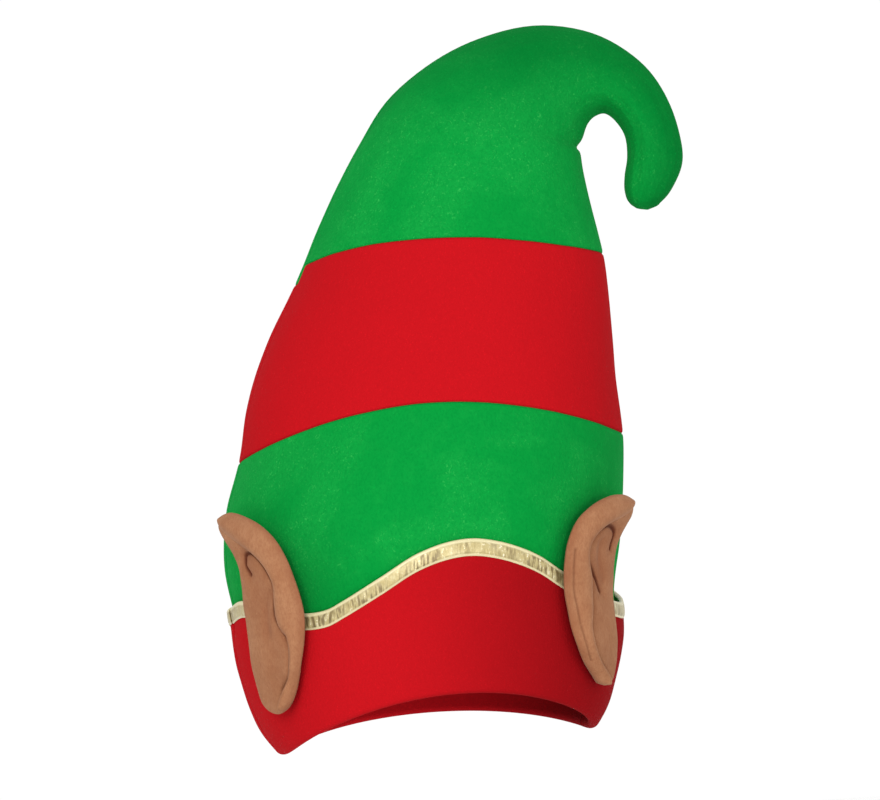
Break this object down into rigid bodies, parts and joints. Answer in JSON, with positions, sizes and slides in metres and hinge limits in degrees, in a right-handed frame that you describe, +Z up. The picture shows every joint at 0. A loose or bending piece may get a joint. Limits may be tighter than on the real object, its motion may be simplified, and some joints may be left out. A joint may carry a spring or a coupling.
{
  "type": "elf hat with ears",
  "caption": "Tall striped plush elf hat, filled out as worn, its top curled over to one side, with a turned-up waved cuff, gold binding and padded pointed ears.",
  "frame": {"origin": "the middle of the head opening at the level of the front hem, where a head holds the hat", "axes": "+Z up through the hat, -Y the way the wearer faces, +X the wearer's left, to which the top curls"},
  "size_m": [0.2488, 0.2043, 0.3548],
  "materials": {
    "green_plush": "short-pile plush",
    "red_plush": "smooth short-pile plush",
    "gold_trim": "metallic woven trim",
    "ear_plush": "brushed plush, padded"
  },
  "bodies": {
    "root": {"crown_low_front": "green_plush", "crown_low_back": "green_plush", "crown_mid_front": "red_plush", "crown_mid_back": "red_plush", "crown_top_front": "green_plush", "crown_top_back": "green_plush", "cuff_front": "red_plush", "cuff_back": "red_plush", "binding_front": "gold_trim", "binding_back": "gold_trim", "ear_right_front": "ear_plush", "ear_right_back": "ear_plush", "ear_left_front": "ear_plush", "ear_left_back": "ear_plush"}
  },
  "joints": []
}
